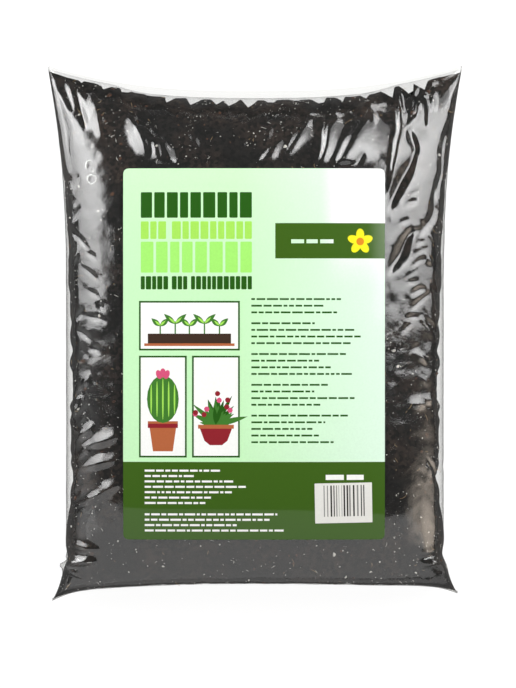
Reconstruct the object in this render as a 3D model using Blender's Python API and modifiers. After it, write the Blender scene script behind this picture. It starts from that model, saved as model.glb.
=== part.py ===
"""Bag of potting compost: a clear film sleeve welded shut at both ends, full of
compost, with an A5 label and a small barcode sticker on its front. It lies on its
back with the label up, +Y towards the top weld. Sizes are in metres."""

import math

import bmesh
import bpy
from mathutils import Matrix, Vector

MM = 0.001

# Label, the sheet that sets the scale
LABEL_WIDTH = 148 * MM
LABEL_LENGTH = 210 * MM
LABEL_CORNER = 3 * MM
LABEL_THICKNESS = 0.3 * MM

# Barcode sticker, stuck a little crooked on the label, with its margins to the
# label's right and bottom edges
STICKER_WIDTH = 32.4 * MM
STICKER_LENGTH = 22.6 * MM
STICKER_THICKNESS = 0.25 * MM
STICKER_CORNER = 0.8 * MM
STICKER_SIDE_MARGIN = 7.2 * MM
STICKER_FOOT_MARGIN = 9.5 * MM
STICKER_TURN = math.radians(1.1)

# Filled bag, measured from the label's centre
THICKNESS = 55 * MM
WAIST_HALF = 107.6 * MM
BODY_OFFSET = 0.5 * MM
TOP_FLARE = 10.8 * MM
EAR_FLARE = 8.8 * MM
TOP_REACH = 146.4 * MM
BOTTOM_REACH = 123.5 * MM
TOP_CORNER_RISE = 14.5 * MM
BOTTOM_CORNER_DROP = 14 * MM
BOTTOM_BULGE = 14.5 * MM
SIDE_HEIGHT = 24 * MM
TOP_WELD_HEIGHT = 13 * MM
BOTTOM_WELD_HEIGHT = 5 * MM
SECTION_POWER = 2.7

# Film and its welds
FILM = 0.25 * MM
WELD_THICKNESS = 0.6 * MM
WELD_BAND = 4 * MM
VENT_RADIUS = 2.5 * MM
VENT_X = -92 * MM
VENT_Y = (107 * MM, 99 * MM)

# Gathers below the welds and folds that run in from the corners
GATHER_PITCH = 16 * MM
GATHER_DEPTH = 1.3 * MM
TOP_GATHER_FADE = 20 * MM
BOTTOM_GATHER_FADE = 12 * MM
FOLD_HALF_WIDTH = 6 * MM
FOLD_DEPTH = 2.2 * MM
TOP_FOLD_LENGTH = 70 * MM
BOTTOM_FOLD_LENGTH = 42 * MM

# Room between pieces that touch
GAP = 0.3 * MM
FILL_GAP = 1.8 * MM

# Mesh fineness: columns across each side of the bag, and rows along it
COLUMNS = 52
ROWS = 32
COARSE = 2


def mix(a, b, share):
    return a + (b - a) * share


def saturate(x):
    """Rises with a soft end from 0 to exactly 1."""
    return math.sin(math.pi / 2 * min(max(x, 0.0), 1.0))


def spread(q, power):
    """Even steps of q made finer towards both ends of -1 to 1."""
    return math.copysign(1 - (1 - abs(q)) ** power, q)


def fall_off(x, power, root):
    return max(0.0, 1 - abs(x) ** power) ** root


def half_width(v):
    """Half the bag's width: waisted in the middle, wide at the welded corners."""
    if v > 0:
        return WAIST_HALF + TOP_FLARE * v**4
    return WAIST_HALF + EAR_FLARE * v**14


def fold(x, y, start, angle, length, half_width_of_fold):
    """Share of a fold's full height at x, y; the fold starts sharp and dies out."""
    dx, dy = x - start[0], y - start[1]
    along = dx * math.cos(angle) + dy * math.sin(angle)
    across = -dx * math.sin(angle) + dy * math.cos(angle)
    if along < 0 or along > length:
        return 0.0
    t = along / length
    rise = min(1.0, t * 6) * (1 - t) ** 1.5
    return rise * math.exp(-((across / (half_width_of_fold * (0.6 + t))) ** 2))


def corner_folds(x, y):
    """Ridges and valleys that fan out from the four corners over the front."""
    total = 0.0
    for side in (-1, 1):
        reach = BODY_OFFSET + side * WAIST_HALF
        top = (reach + side * 2 * MM, TOP_REACH + 4 * MM)
        bottom = (reach + side * 3 * MM, -BOTTOM_REACH - 8 * MM)
        for k in range(4):
            sign = 1 if k % 2 else -1
            lean = math.radians(24 + 17 * k)
            down = -lean if side < 0 else math.pi + lean
            up = lean if side < 0 else math.pi - lean
            total += sign * fold(x, y, top, down, TOP_FOLD_LENGTH, FOLD_HALF_WIDTH)
            total += sign * fold(
                x, y, bottom, up, BOTTOM_FOLD_LENGTH, 0.8 * FOLD_HALF_WIDTH
            )
    return FOLD_DEPTH * total


def gathers(x, beyond, fade):
    """Ripple of the film at a distance inside a weld."""
    wave = math.cos(2 * math.pi * x / GATHER_PITCH + 1.5 * math.sin(x / (31 * MM)))
    return GATHER_DEPTH * wave * math.exp(-((beyond / fade) ** 1.5))


def bag_point(front, q, v, weld=0.0):
    """Outer film surface. q runs across from -1 to 1 and v along from the bottom
    weld at -1 to the top weld at 1; weld is how far out over the weld band."""
    u = mix(spread(q, 1.6), q, abs(v) ** 8)
    x = BODY_OFFSET + half_width(v) * u
    if v > 0:
        weld_height = TOP_WELD_HEIGHT
        y = TOP_REACH * v + TOP_CORNER_RISE * v**4 * abs(u) ** 2.6
        crown = fall_off(v, 5.5, 0.6)
        inward = TOP_REACH * (1 - v)
        fade = TOP_GATHER_FADE
    else:
        weld_height = BOTTOM_WELD_HEIGHT
        y = BOTTOM_REACH * v - BOTTOM_CORNER_DROP * v**4 * abs(u) ** 3
        crown = fall_off(v, 7, 0.5)
        inward = BOTTOM_REACH * (1 + v)
        fade = BOTTOM_GATHER_FADE
        if front:
            g = abs(v) ** 9
            y -= BOTTOM_BULGE * 4 * g * (1 - g) * fall_off(u, 4, 1.0)
    side = mix(weld_height, SIDE_HEIGHT, fall_off(v, 6, 0.6))
    rim = fall_off(u, SECTION_POWER, 1 / SECTION_POWER)
    above = mix(side, mix(weld_height, THICKNESS, crown), rim)
    lifted = 1 - saturate(1.45 * rim * fall_off(v, 8, 0.7))
    below = side * lifted
    soft = fall_off(u, 8, 0.5)
    ripple = gathers(x, inward, fade) * soft
    weld_half = WELD_THICKNESS / 2 * (1 - crown) * soft
    if front:
        fullness = saturate((above - below) / (8 * FOLD_DEPTH))
        z = above + ripple + weld_half + corner_folds(x, y) * rim * fullness
    else:
        z = below + (ripple - weld_half) * lifted
    y += math.copysign(weld, v)
    return Vector((x, y, z))


def bag_normal(front, q, v):
    """Direction out of the film, from the surface on both sides of a point."""
    step = 1e-3
    q0, q1 = max(q - step, -1), min(q + step, 1)
    v0, v1 = max(v - step, -1), min(v + step, 1)
    across = bag_point(front, q1, v) - bag_point(front, q0, v)
    along = bag_point(front, q, v1) - bag_point(front, q, v0)
    out = across.cross(along) if front else along.cross(across)
    return out.normalized()


def rim_normal(q):
    """Direction out of the side fold, where front and back meet."""
    return Vector((math.copysign(1.0, q), 0, 0))


def column_places(columns):
    """Places across the bag from one side fold to the other."""
    return [1 - 2 * i / columns for i in range(columns + 1)]


def row_places(limit_bottom, limit_top):
    """Places along the bag, closer together towards the welds."""
    places = [spread(-1 + 2 * i / ROWS, 1.5) for i in range(ROWS + 1)]
    return [v for v in places if limit_bottom <= v <= limit_top]


def ring(v, inset, columns, weld=0.0):
    """One closed loop round the bag, moved inwards by inset."""
    places = column_places(columns)
    points = []
    for q in places:
        out = rim_normal(q) if abs(q) == 1 else bag_normal(True, q, v)
        points.append(bag_point(True, q, v, weld) - out * inset)
    for q in places[-2:0:-1]:
        out = bag_normal(False, q, v)
        points.append(bag_point(False, q, v, weld) - out * inset)
    return points


def close_end(body, loop, columns):
    """Cap between the front and the back half of a thin end loop."""
    front = loop[: columns + 1]
    back = [loop[0]] + loop[:columns:-1] + [loop[columns]]
    for i in range(columns):
        corners = [front[i], front[i + 1], back[i + 1], back[i]]
        body.faces.new(list(dict.fromkeys(corners)))


def solid_of_rings(name, rings, columns):
    """Closed solid through a row of equal loops, capped at both ends. All faces are
    split the same way, so nested walls stay parallel."""
    body = bmesh.new()
    loops = [[body.verts.new(p) for p in points] for points in rings]
    count = len(loops[0])
    for lower, upper in zip(loops, loops[1:]):
        for i in range(count):
            j = (i + 1) % count
            body.faces.new((lower[i], upper[i], upper[j], lower[j]))
    close_end(body, loops[0], columns)
    close_end(body, loops[-1], columns)
    bmesh.ops.triangulate(body, faces=body.faces, quad_method="FIXED")
    bmesh.ops.recalc_face_normals(body, faces=body.faces)
    return new_object(name, body)


def new_object(name, body):
    mesh = bpy.data.meshes.new(name)
    body.to_mesh(mesh)
    body.free()
    made = bpy.data.objects.new(name, mesh)
    bpy.context.scene.collection.objects.link(made)
    return made


def clear_scene():
    for old in list(bpy.data.objects):
        bpy.data.objects.remove(old, do_unlink=True)


def material(name, colour, roughness, alpha=1.0):
    made = bpy.data.materials.new(name)
    made.use_nodes = True
    shader = made.node_tree.nodes["Principled BSDF"]
    shader.inputs["Base Color"].default_value = (*colour, 1)
    shader.inputs["Roughness"].default_value = roughness
    shader.inputs["Alpha"].default_value = alpha
    made.diffuse_color = (*colour, alpha)
    return made


def cut(target, cutter, operation="DIFFERENCE"):
    made = target.modifiers.new(operation.title() + " " + cutter.name, "BOOLEAN")
    made.operation = operation
    made.solver = "EXACT"
    made.object = cutter
    cutter.hide_render = True
    cutter.display_type = "WIRE"


def film_outside():
    """Outer skin of the film, with the two flat weld bands."""
    rings = [ring(-1, 0, COLUMNS, weld=WELD_BAND)]
    rings += [ring(v, 0, COLUMNS) for v in row_places(-1, 1)]
    rings.append(ring(1, 0, COLUMNS, weld=WELD_BAND))
    return solid_of_rings("film_bag", rings, COLUMNS)


def film_inside():
    """The hollow of the bag, one film thickness inside the skin."""
    rings = [ring(v, FILM, COLUMNS) for v in row_places(-0.999, 0.999)]
    return solid_of_rings("hollow", rings, COLUMNS)


def vent_cutter(number, place_y):
    """Upright pin that punches one air hole through the front film."""
    bpy.ops.mesh.primitive_cylinder_add(
        vertices=24,
        radius=VENT_RADIUS,
        depth=THICKNESS,
        location=(VENT_X, place_y, THICKNESS),
    )
    made = bpy.context.object
    made.name = f"vent_cutter_{number}"
    return made


def compost_fill():
    """The fill, a small gap inside the film, ending short of the welds."""
    columns = COLUMNS // COARSE
    inset = FILM + FILL_GAP
    rings = [ring(v, inset, columns) for v in row_places(-0.97, 0.97)]
    return solid_of_rings("compost", rings, columns)


def sheet_on_front(name, height, thickness, across, along):
    """Slab that follows the bag's front at a height above the film, over the given
    limits across and along the bag."""
    places = column_places(COLUMNS // COARSE)
    columns = [q for q in places if across[0] <= q <= across[1]]
    rows = row_places(*along)
    body = bmesh.new()
    for v in rows:
        for q in columns:
            out = bag_normal(True, q, v)
            body.verts.new(bag_point(True, q, v) + out * height)
    body.verts.ensure_lookup_table()
    wide = len(columns)
    for j in range(len(rows) - 1):
        for i in range(wide - 1):
            k = j * wide + i
            corners = (k, k + wide, k + wide + 1, k + 1)
            body.faces.new([body.verts[c] for c in corners])
    made = new_object(name, body)
    solid = made.modifiers.new("Sheet thickness", "SOLIDIFY")
    solid.thickness = thickness
    solid.offset = 1
    solid.use_even_offset = True
    return made


def rounded_block(name, width, length, corner, place, turn):
    """Upright block with rounded corners that trims a sheet to its outline."""
    bpy.ops.mesh.primitive_cube_add(size=1)
    made = bpy.context.object
    made.name = name
    made.data.transform(Matrix.Diagonal((width, length, 2 * THICKNESS, 1)))
    body = bmesh.new()
    body.from_mesh(made.data)
    upright = [
        e for e in body.edges if abs(e.verts[0].co.z - e.verts[1].co.z) > THICKNESS
    ]
    bmesh.ops.bevel(
        body,
        geom=upright,
        offset=corner,
        offset_type="OFFSET",
        segments=5,
        profile=0.5,
        affect="EDGES",
    )
    body.to_mesh(made.data)
    body.free()
    made.data.transform(
        Matrix.Translation((*place, THICKNESS)) @ Matrix.Rotation(turn, 4, "Z")
    )
    return made


def stand_on_origin(film, everything):
    """Moves all pieces so that the film's box is centred over the origin."""
    corners = [film.matrix_world @ Vector(corner) for corner in film.bound_box]
    low = Vector([min(c[k] for c in corners) for k in range(3)])
    high = Vector([max(c[k] for c in corners) for k in range(3)])
    middle = (low + high) / 2
    shift = Matrix.Translation((-middle.x, -middle.y, -low.z))
    for piece in everything:
        piece.data.transform(shift)


def collect(name, pieces):
    made = bpy.data.collections.new(name)
    bpy.context.scene.collection.children.link(made)
    for piece in pieces:
        for old in list(piece.users_collection):
            old.objects.unlink(piece)
        made.objects.link(piece)


def main():
    clear_scene()
    film = film_outside()
    hollow = film_inside()
    cut(film, hollow)
    vents = [vent_cutter(n + 1, y) for n, y in enumerate(VENT_Y)]
    for vent in vents:
        cut(film, vent)
    compost = compost_fill()
    label = sheet_on_front(
        "label", GAP, LABEL_THICKNESS, (-0.62, 0.62), (-0.945, 0.8)
    )
    label_outline = rounded_block(
        "label_outline", LABEL_WIDTH, LABEL_LENGTH, LABEL_CORNER, (0, 0), 0
    )
    cut(label, label_outline, "INTERSECT")
    above_label = GAP + LABEL_THICKNESS + GAP
    sticker_x = LABEL_WIDTH / 2 - STICKER_SIDE_MARGIN - STICKER_WIDTH / 2
    sticker_y = STICKER_LENGTH / 2 + STICKER_FOOT_MARGIN - LABEL_LENGTH / 2
    sticker = sheet_on_front(
        "barcode_sticker", above_label, STICKER_THICKNESS, (0.14, 0.62), (-0.9, -0.4)
    )
    sticker_outline = rounded_block(
        "sticker_outline",
        STICKER_WIDTH,
        STICKER_LENGTH,
        STICKER_CORNER,
        (sticker_x, sticker_y),
        STICKER_TURN,
    )
    cut(sticker, sticker_outline, "INTERSECT")
    film.data.materials.append(material("clear film", (0.8, 0.82, 0.8), 0.08, 0.25))
    compost.data.materials.append(material("compost", (0.022, 0.018, 0.014), 0.95))
    label.data.materials.append(material("label", (0.55, 0.85, 0.52), 0.35))
    sticker.data.materials.append(material("sticker", (0.85, 0.85, 0.85), 0.4))
    cutters = [hollow, *vents, label_outline, sticker_outline]
    stand_on_origin(film, [film, compost, label, sticker, *cutters])
    collect("compost bag", [film, compost, label, sticker])
    collect("cutters", cutters)


main()
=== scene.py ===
import math
from itertools import combinations

import bmesh
import bpy
import numpy as np
from mathutils import Matrix, Vector, geometry
from mathutils.bvhtree import BVHTree


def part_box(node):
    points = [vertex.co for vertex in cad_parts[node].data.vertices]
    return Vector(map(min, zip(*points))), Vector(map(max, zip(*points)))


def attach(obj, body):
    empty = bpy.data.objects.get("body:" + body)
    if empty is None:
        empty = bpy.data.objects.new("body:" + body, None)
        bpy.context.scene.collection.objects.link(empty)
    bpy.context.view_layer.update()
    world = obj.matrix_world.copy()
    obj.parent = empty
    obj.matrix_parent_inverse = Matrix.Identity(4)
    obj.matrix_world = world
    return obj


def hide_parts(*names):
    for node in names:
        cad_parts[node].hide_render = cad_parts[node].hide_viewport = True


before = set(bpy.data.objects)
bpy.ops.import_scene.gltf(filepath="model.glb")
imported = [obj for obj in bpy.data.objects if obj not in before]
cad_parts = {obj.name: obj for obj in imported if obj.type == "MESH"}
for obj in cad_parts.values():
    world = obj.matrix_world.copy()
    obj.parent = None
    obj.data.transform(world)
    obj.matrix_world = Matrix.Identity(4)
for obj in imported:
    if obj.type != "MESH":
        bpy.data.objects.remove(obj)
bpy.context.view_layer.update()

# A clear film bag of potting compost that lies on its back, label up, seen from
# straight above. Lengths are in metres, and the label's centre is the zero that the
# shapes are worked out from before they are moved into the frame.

MM = 0.001
LABEL_LOW, LABEL_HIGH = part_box("label")
LABEL_PLACE = Vector(
    ((LABEL_LOW.x + LABEL_HIGH.x) / 2, (LABEL_LOW.y + LABEL_HIGH.y) / 2, 0)
)

# The filled bag, as in the solids
THICKNESS = 55 * MM
WAIST_HALF = 107.6 * MM
BODY_OFFSET = 0.5 * MM
TOP_FLARE = 10.8 * MM
EAR_FLARE = 8.8 * MM
TOP_REACH = 146.4 * MM
BOTTOM_REACH = 123.5 * MM
TOP_CORNER_RISE = 14.5 * MM
BOTTOM_CORNER_DROP = 14 * MM
BOTTOM_BULGE = 14.5 * MM
SIDE_HEIGHT = 24 * MM
TOP_WELD_HEIGHT = 13 * MM
BOTTOM_WELD_HEIGHT = 5 * MM
SECTION_POWER = 2.7
WELD_BAND = 4 * MM
EAR_FILL = 2.4 * MM
VENTS = ((-92 * MM, 99 * MM), (-93 * MM, 107 * MM))
VENT_RADIUS = 2.5 * MM

# The label and its sticker, in millimetres from the label's centre
LABEL_HALF = (74.0, 105.0)
LABEL_CORNER = 3.0
STICKER_CENTRE = (50.6, -84.2)
STICKER_HALF = (16.2, 11.3)
STICKER_TURN = math.radians(1.1)

# The picture: size of a pixel on the label, number of rows, and how many pixels its
# middle lies right of and above the label's middle
PIXEL = 0.565 * MM
PICTURE_ROWS = 688
PICTURE_MIDDLE = (4, 10)

# Fineness of the film and of the compost under it
FILM_COLUMNS = (230, 84)
FILM_ROWS = 270
WELD_RINGS = 9
FILL_COLUMNS = (200, 70)
FILL_ROWS = 250


# Shape of the bag


def mix(a, b, share):
    return a + (b - a) * share


def spread(q, power):
    """Even steps made finer towards both ends of -1 to 1."""
    return np.sign(q) * (1 - (1 - np.abs(q)) ** power)


def fall_off(x, power, root):
    return np.clip(1 - np.abs(x) ** power, 0, None) ** root


def saturate(x):
    return np.sin(np.pi / 2 * np.clip(x, 0, 1))


def smoothstep(low, high, x):
    """Smooth step from 0 at low to 1 at high, in either order."""
    t = np.clip((x - low) / (high - low), 0, 1)
    return t * t * (3 - 2 * t)


def bag_surface(front, q, v, weld):
    """Smooth film surface for arrays of places. front is 1 on the labelled side and
    0 on the back, q runs across and v along, weld is how far over a weld: the top
    weld stands out, narrow at the ears, and the bottom weld is tucked under."""
    u = mix(spread(q, 1.6), q, np.abs(v) ** 8)
    top = v > 0
    pinch = 1.6 * MM * np.exp(-(((v + 0.86) / 0.03) ** 2))
    flare = np.where(top, TOP_FLARE * v**4, EAR_FLARE * np.abs(v) ** 14 - pinch)
    x = BODY_OFFSET + (WAIST_HALF + flare) * u
    ear = smoothstep(0.52, 0.72, np.abs(u))
    y_top = TOP_REACH * v + TOP_CORNER_RISE * v**4 * np.abs(u) ** 2.6
    filled = EAR_FILL * np.abs(v) ** 12 + (1 - EAR_FILL / WELD_BAND) * weld
    y_top = y_top + filled * ear + weld * (1 - ear)
    g = np.abs(v) ** 9
    bulge = BOTTOM_BULGE * 4 * g * (1 - g) * fall_off(u, 4, 1.0) * front
    drop = BOTTOM_CORNER_DROP * mix(1, 1.3, u < 0) * v**4 * np.abs(u) ** 3
    y_bottom = BOTTOM_REACH * v - drop - bulge
    y = np.where(top, y_top, y_bottom + 0.35 * weld)
    crown = np.where(top, fall_off(v, 5.5, 0.6), fall_off(v, 7, 0.5))
    weld_height = np.where(top, TOP_WELD_HEIGHT, BOTTOM_WELD_HEIGHT)
    side = mix(weld_height, SIDE_HEIGHT, fall_off(v, 6, 0.6))
    rim = fall_off(u, SECTION_POWER, 1 / SECTION_POWER)
    above = mix(side, mix(weld_height, THICKNESS, crown), rim)
    lifted = 1 - saturate(1.45 * rim * fall_off(v, 8, 0.7))
    z = np.where(front > 0.5, above, side * lifted)
    z = z - np.where(top, 0, 0.9 * weld)
    return np.stack([x, y, z], axis=-1)


def ring_places(columns):
    """Places round the bag: across the front from one side fold, back below."""
    over = 1 - 2 * np.arange(columns[0] + 1) / columns[0]
    under = -1 + 2 * np.arange(1, columns[1]) / columns[1]
    front = np.concatenate([np.ones_like(over), np.zeros_like(under)])
    return front, np.concatenate([over, under])


def skin_grid(columns, rows, reach=1.0, weld_rings=WELD_RINGS):
    """Points and outward normals of the smooth bag, as rows of closed loops. reach
    is how near each column comes to the welds."""
    front, q = ring_places(columns)
    v = spread(np.linspace(-1, 1, rows + 1), 1.35)
    steps = np.linspace(0, 1, weld_rings + 1)[1:] * WELD_BAND
    ends = np.ones(weld_rings)
    weld = np.concatenate([steps[::-1], np.zeros_like(v), steps])
    v = np.concatenate([-ends, v, ends])[:, None] * reach
    front, q, v, weld = np.broadcast_arrays(front, q, v, weld[:, None])
    points = bag_surface(front, q, v, weld)
    return points, loop_normals(points), front, q, v


def loop_normals(points):
    """Outward unit normals of rows of closed loops."""
    round_bag = np.roll(points, -1, axis=1) - np.roll(points, 1, axis=1)
    along = np.gradient(points, axis=0)
    out = np.cross(along, round_bag)
    size = np.linalg.norm(out, axis=-1, keepdims=True)
    return out / np.maximum(size, 1e-12)


def loops_to_mesh(name, points):
    """Mesh of rows of closed loops, smooth shaded."""
    rows, count = points.shape[:2]
    index = np.arange(rows * count).reshape(rows, count)
    nxt = np.roll(index, -1, axis=1)
    quads = np.stack([index[:-1], index[1:], nxt[1:], nxt[:-1]], axis=-1).reshape(-1, 4)
    return mesh_object(name, points.reshape(-1, 3), quads)


def mesh_object(name, points, faces, place=True, smooth=True):
    """New object from points and faces of one size, moved into the frame."""
    points = np.asarray(points, float)
    if place:
        points = points + np.array(LABEL_PLACE)
    made = bpy.data.meshes.new(name)
    faces = np.asarray(faces)
    size = faces.shape[1]
    made.vertices.add(len(points))
    made.vertices.foreach_set("co", points.astype(np.float32).ravel())
    made.loops.add(faces.size)
    made.loops.foreach_set("vertex_index", faces.astype(np.int32).ravel())
    made.polygons.add(len(faces))
    starts = np.arange(len(faces), dtype=np.int32) * size
    made.polygons.foreach_set("loop_start", starts)
    made.update(calc_edges=True)
    made.validate()
    if smooth:
        made.shade_smooth()
    obj = bpy.data.objects.new(name, made)
    bpy.context.scene.collection.objects.link(obj)
    return obj


# Creases of the film, in millimetres in plan from the label's centre


def value_noise(points, cell, seed):
    """Smooth noise from 0 to 1 at points, for cells of the given size."""
    table = np.random.default_rng(seed).random((32, 32, 32))
    scaled = points / cell
    base = np.floor(scaled).astype(int)
    t = scaled - base
    t = t * t * (3 - 2 * t)
    total = np.zeros(points.shape[:-1])
    for i in (0, 1):
        for j in (0, 1):
            for k in (0, 1):
                weight = np.abs(1 - i - t[..., 0]) * np.abs(1 - j - t[..., 1])
                weight = weight * np.abs(1 - k - t[..., 2])
                corner = (base + (i, j, k)) % 32
                total += weight * table[corner[..., 0], corner[..., 1], corner[..., 2]]
    return total


def ridge(x, y, start, end, half, height, bow=0.0, skew=1.0):
    """Crease from start to end, pointed at both ends and bowed to its right. skew
    is how much wider its left flank is than its right flank."""
    (x0, y0), (x1, y1) = start, end
    length = math.hypot(x1 - x0, y1 - y0)
    dx, dy = (x1 - x0) / length, (y1 - y0) / length
    t = ((x - x0) * dx + (y - y0) * dy) / length
    inside = np.clip(t, 0, 1)
    swell = np.sin(np.pi * inside) * ((t > 0) & (t < 1))
    across = (x - x0) * dy - (y - y0) * dx - bow * 4 * inside * (1 - inside)
    flank = np.where(across < 0, skew**0.5, skew**-0.5)
    width = half * flank * (0.3 + 0.7 * swell)
    return height * swell**0.7 * np.exp(-np.abs(across / width) ** 1.8)


def ridges(x, y, creases):
    """Sum of creases, each given by the values that ridge takes."""
    total = np.zeros_like(x)
    for crease in creases:
        total += ridge(x, y, *crease)
    return total


def pleats():
    """Places, half widths and lengths of the pleats that hang from the top weld."""
    seed = np.random.default_rng(3)
    places, at = [], -98.0
    while at < 104:
        places.append((at, seed.uniform(1.6, 4.6), seed.uniform(6, 14)))
        at += seed.uniform(7.5, 16)
    return places


def top_pleats():
    """Valleys where both films are drawn together at the top weld."""
    creases = []
    for k, (at, half, length) in enumerate(pleats()):
        top = 153 + 12 * (abs(at) / 116) ** 2.6
        lean = 0.15 - 0.3 * (at + 104) / 208
        foot = (at + lean * length, top - 1.7 * length)
        creases.append((foot, (at, top), half, -1.1, 0.8 * (-1) ** k))
        side = at + half + 2.5
        foot = (side + lean * length, top - 2.3 * length)
        creases.append((foot, (side, top + 2), 1.8, 0.8, 0.5, 0.5))
    return creases


def right_shoulder():
    """Long blades that lean from the label's top edge up to the right, and the
    slack folds under the right corner."""
    blades = (
        ((5, 118), (13, 142), 1.8, 1.0, 0.3),
        ((2, 105), (16, 123), 3.0, 1.5, 0.5),
        ((16, 109), (34, 146), 3.2, 2.0, 1.5),
        ((36, 103), (51, 153), 3.4, 2.4, -0.8),
        ((43, 95), (68, 152), 6.5, 3.1, 1.0),
        ((76, 90), (81, 150), 3.4, 2.3, 3.5),
        ((85, 126), (97, 149), 3.0, 1.9, 1.0),
        ((99, 128), (96, 152), 2.6, 1.4, 0.8),
    )
    slits = (
        ((57, 104), (62, 114), 1.4, -0.8, 0.0),
        ((74, 80), (92, 118), 2.8, -2.0, 1.5),
        ((93, 62), (106, 96), 2.2, -1.3, 1.0),
        ((103, 82), (111, 134), 1.8, -1.1, -0.5),
        ((72, 42), (91, 72), 3.4, -1.8, 1.5),
        ((86, 128), (93, 112), 2.0, -1.1, 0.0),
    )
    blade_skew = 0.45
    return [(*blade, blade_skew) for blade in blades] + list(slits)


def left_shoulder():
    """Tongues that run down from the top left corner, a patch of slack blades right
    of them, and a few small ones near the middle."""
    return (
        ((-95, 127), (-103, 152), 2.6, -1.5, 0.5, 1.0),
        ((-103, 138), (-111, 158), 3.4, -1.4, 0.0, 1.0),
        ((-86, 122), (-91, 152), 4.2, 1.6, 1.0, 1.4),
        ((-103, 105), (-112, 150), 1.6, -0.9, 0.8, 1.0),
        ((-60, 111), (-70, 138), 3.8, 1.9, 0.8, 2.6),
        ((-52, 105), (-63, 132), 4.2, 2.2, 0.6, 2.6),
        ((-44, 101), (-55, 124), 4.2, 2.0, 0.4, 2.4),
        ((-31, 114), (-37, 129), 2.0, 1.0, 0.3, 2.0),
        ((-9, 114), (-5, 123), 1.4, 0.6, 0.2, 0.5),
        ((-8, 126), (-4, 134), 1.4, 0.6, 0.2, 0.5),
    )


def side_crimps():
    """Short slanted crimps where the film is pushed in along both side folds."""
    seed = np.random.default_rng(11)
    creases = []
    for side, low, high, step in ((1, 2, 88, 7.0), (-1, 0, 60, 9.0)):
        at = low
        while at < high:
            reach = seed.uniform(6, 14)
            inner = side * seed.uniform(82, 94)
            rise = reach * seed.uniform(0.15, 0.9)
            start = (inner, at + seed.uniform(-2, 2))
            end = (inner + side * reach, start[1] + rise)
            half = seed.uniform(0.7, 1.5)
            creases.append((start, end, half, -0.55 * half, -0.7 * side))
            at += step * seed.uniform(0.6, 1.4)
        for _ in range(22):
            start = (side * seed.uniform(98, 108), seed.uniform(-95, 100))
            end = (start[0] - side * seed.uniform(2, 8), start[1] + seed.uniform(5, 12))
            height = seed.uniform(-0.8, 0.8)
            creases.append((start, end, seed.uniform(0.9, 1.9), height, 0.6))
    return creases


def lower_folds():
    """Broad folds on the left towards the label, and a knot of folds at each ear."""
    creases = [
        ((-101, -48), (-90, -39), 2.4, 0.9, 0.8, 1.6),
        ((-95, -53), (-72, -43), 3.2, 1.2, 0.8, 1.6),
        ((-98, -66), (-76, -57), 2.8, 1.0, 0.8, 1.6),
        ((-97, -82), (-72, -71), 3.4, 1.2, 0.8, 1.6),
        ((-101, -86), (-88, -78), 2.0, 0.9, 0.8, 1.6),
        ((88, -30), (103, -26), 2.6, 0.9, 0.8, 1.6),
        # High and steep on one side: these catch the light in both ears
        ((-105, -108), (-87, -112), 2.4, 2.2, 0.8, 3.0),
        ((-107, -114), (-89, -120), 2.4, 2.6, 0.8, 3.0),
        ((-109, -119), (-97, -129), 2.2, 2.4, 0.8, 3.0),
        ((92, -113), (105, -110), 2.2, 1.7, 0.8, 2.5),
        ((95, -120), (108, -115), 2.2, 1.6, 0.8, 2.5),
    ]
    for side in (-1, 1):
        for k in range(7):
            angle = math.radians(-30 + 17 * k)
            length = 17 - 1.5 * abs(k - 2)
            start = (side * (106 + 0.6 * k), -115 - 2.0 * k)
            end = (
                start[0] - side * length * math.cos(angle),
                start[1] + length * math.sin(angle),
            )
            creases.append((start, end, 1.5, 1.0, 0.5))
    return creases


def film_relief(points, front, v):
    """How far the film stands out of the smooth bag, in metres, over all its grid:
    the creases, bent a little by noise, a dish at each air hole and a fine waviness.
    Under the label it is smooth."""
    x, y = points[..., 0] / MM, points[..., 1] / MM
    bent_x, bent_y = [
        flat + 3.2 * (value_noise(points, 13 * MM, k) - 0.5)
        for flat, k in ((x, 6), (y, 7))
    ]
    relief = np.zeros_like(x)
    for creases in (
        top_pleats(),
        right_shoulder(),
        left_shoulder(),
        side_crimps(),
        lower_folds(),
    ):
        relief += ridges(bent_x, bent_y, creases)
    # Dish depth and radius in mm; then height in mm and wavelength of the waviness
    for vent_x, vent_y in VENTS:
        away = np.hypot(x - vent_x / MM, y - vent_y / MM)
        relief -= 0.2 * np.exp(-((away / 2.2) ** 2))
    for height, cell, seed in ((0.30, 7 * MM, 8), (0.12, 3.1 * MM, 9)):
        relief += height * (value_noise(points, cell, seed) - 0.5)
    past_x = np.abs(x) - LABEL_HALF[0]
    past_y = np.abs(y) - LABEL_HALF[1]
    clear = smoothstep(0.3, 5.0, np.maximum(past_x, past_y))
    ends = fall_off(v, 60, 1.0)
    return relief * clear * np.where(front > 0.5, ends, 0.2 * ends) * MM


def weld_ripple(points, v):
    """Wave of both films at the welds, in metres along the bag's height."""
    x = points[..., 0] / MM
    # Waves about 11.5 mm long that die out 9 mm from the weld, and along the weld
    # itself fine ribs, 1.9 mm apart
    wave = np.sin(2 * np.pi * x / 11.5 + 1.7 * np.sin(x / 23) + 0.8 * np.sin(x / 9.1))
    reach = np.where(v > 0, TOP_REACH, BOTTOM_REACH) * (1 - np.abs(v))
    fade = np.exp(-((reach / (9 * MM)) ** 1.5))
    band = 0.05 * MM * fade * np.sin(2 * np.pi * np.abs(points[..., 1]) / (1.9 * MM))
    rise = 0.16 * MM * wave * fade * np.where(np.abs(v) > 0.999, 0.3, 1.0)
    rise = rise + band * (np.abs(v) > 0.999)
    return rise * fall_off(points[..., 0] / (119 * MM), 6, 0.5)


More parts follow.
